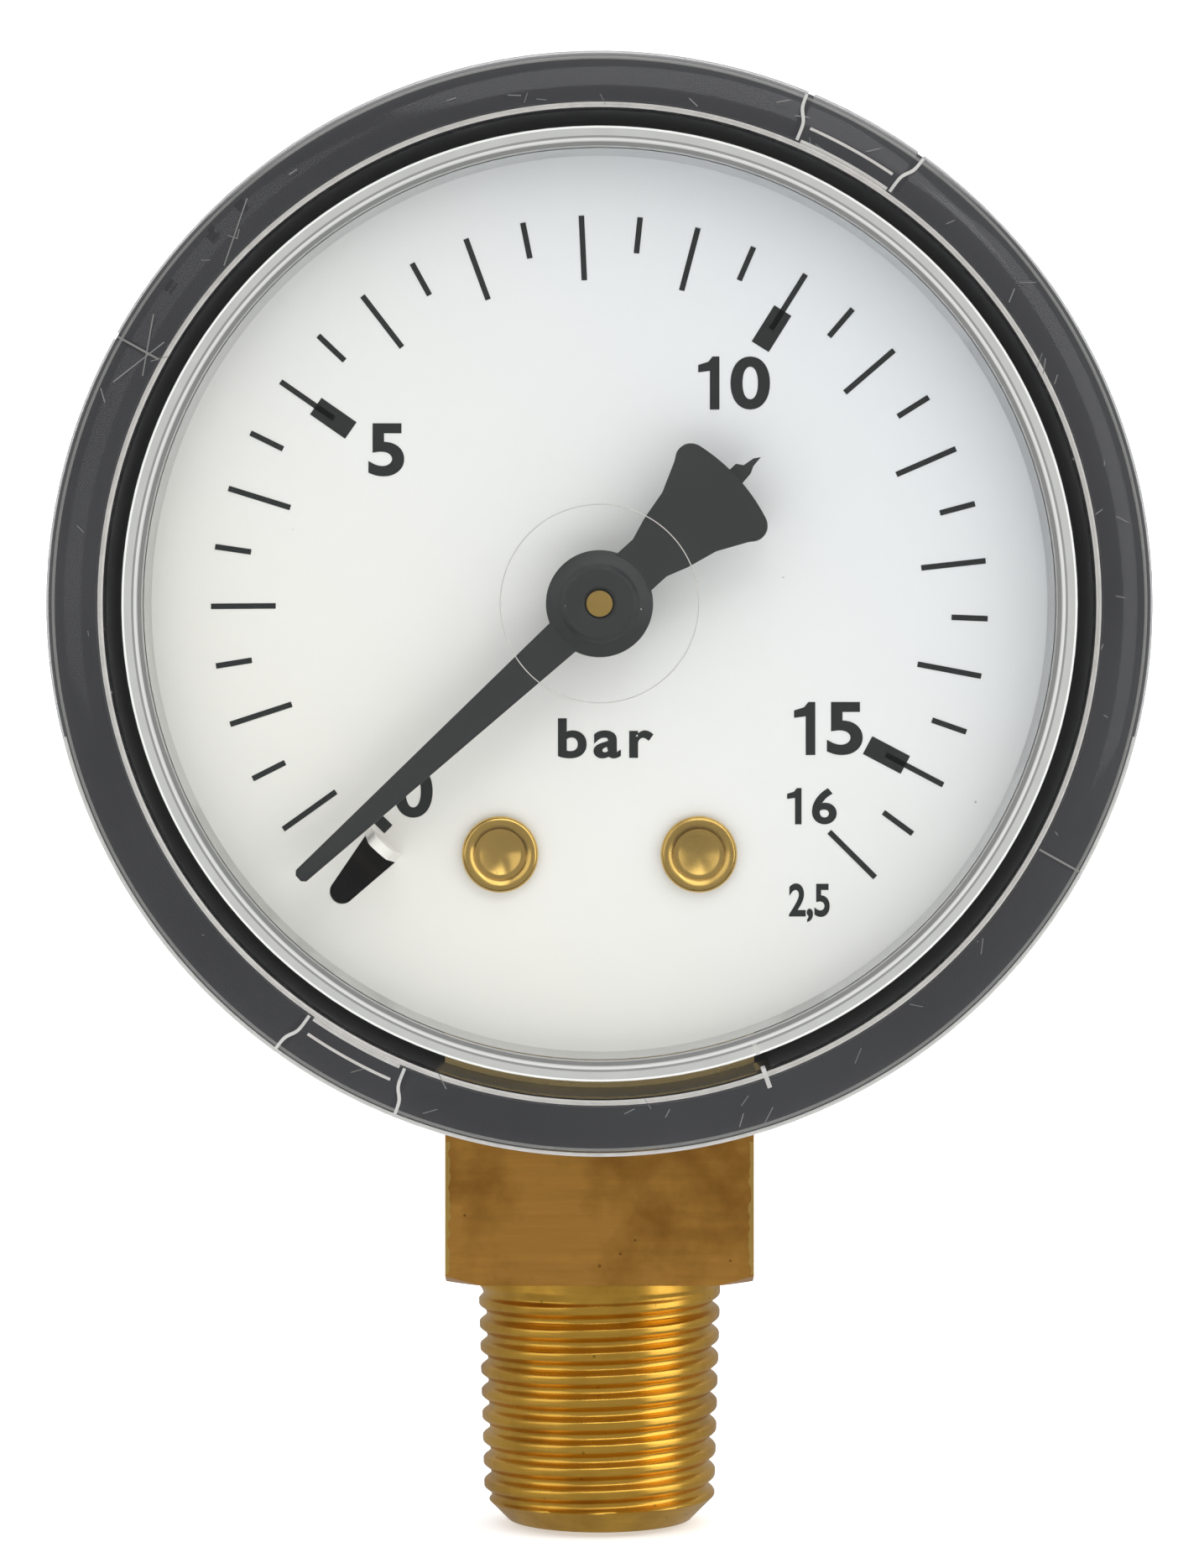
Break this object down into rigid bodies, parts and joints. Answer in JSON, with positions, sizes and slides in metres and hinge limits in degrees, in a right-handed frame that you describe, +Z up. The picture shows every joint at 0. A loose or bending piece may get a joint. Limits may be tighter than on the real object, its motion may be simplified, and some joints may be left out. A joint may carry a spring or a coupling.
{
  "type": "pressure gauge",
  "caption": "Small round dial pressure gauge with a black case, a clear push-on window, a pointer and a square brass stem that ends in a male pipe thread at the bottom.",
  "frame": {"origin": "centre of the shoulder under the stem's square, on the thread's axis", "axes": "+Z up along the stem to the dial's centre, -Y out of the dial towards the reader, +X to the reader's right"},
  "size_m": [0.042, 0.022, 0.0575],
  "materials": {
    "case_plastic": "gloss black moulded plastic",
    "window_clear": "clear moulded plastic",
    "dial_white": "white painted aluminium",
    "rivet_brass": "bright",
    "pointer_plastic": "satin black moulded plastic",
    "stem_brass": "milled",
    "bright_steel": "bright zinc",
    "plug_rubber": "matte",
    "tube_bronze": "drawn",
    "movement_brass": "stamped"
  },
  "bodies": {
    "root": {"case": "case_plastic", "window": "window_clear", "dial": "dial_white", "dial_rivets": "rivet_brass", "stem": "stem_brass", "restrictor_screw": "rivet_brass", "case_screws": "bright_steel", "blowout_plug": "plug_rubber", "bourdon_tube": "tube_bronze", "hairspring": "tube_bronze", "hairspring_stud": "movement_brass", "front_plate": "movement_brass", "back_plate": "movement_brass", "plate_pillars": "movement_brass", "plate_screws": "bright_steel"},
    "pointer": {"pointer": "pointer_plastic", "pinion_shaft": "movement_brass", "hairspring_collet": "movement_brass"},
    "sector": {"sector": "movement_brass", "sector_arbor": "bright_steel", "link_tail_pin": "bright_steel"},
    "tube_tip": {"tube_tip": "movement_brass", "link_tip_pin": "bright_steel"},
    "link": {"link": "movement_brass"}
  },
  "joints": [
    {"name": "pointer_turn", "type": "hinge", "parent": "root", "child": "pointer", "pos_m": [0, 0, 0.0265], "axis": [0, 1, 0], "range_deg": [0, 272.1], "deforming": ["hairspring"]},
    {"name": "sector_swing", "type": "hinge", "parent": "root", "child": "sector", "pos_m": [-0.00916, 0, 0.02317], "axis": [0, 1, 0], "range_deg": [-22.77, 0]},
    {"name": "tube_tip_travel", "type": "slide", "parent": "root", "child": "tube_tip", "axis": [0.6428, 0, 0.766], "range_m": [0, 0.00192], "stiffness_N_per_m": 2, "springref_m": -0.001, "deforming": ["bourdon_tube"]},
    {"name": "link_swing", "type": "hinge", "parent": "tube_tip", "child": "link", "pos_m": [0.01218, 0, 0.0196], "axis": [0, 1, 0], "range_deg": [-3.94, 0]}
  ],
  "couplings": [
    {"joint": "pointer_turn", "follows": "tube_tip_travel", "rad_per_m": 2467},
    {"joint": "sector_swing", "follows": "tube_tip_travel", "rad_per_m": -205.59},
    {"joint": "link_swing", "follows": "tube_tip_travel", "rad_per_m": -34.868}
  ]
}
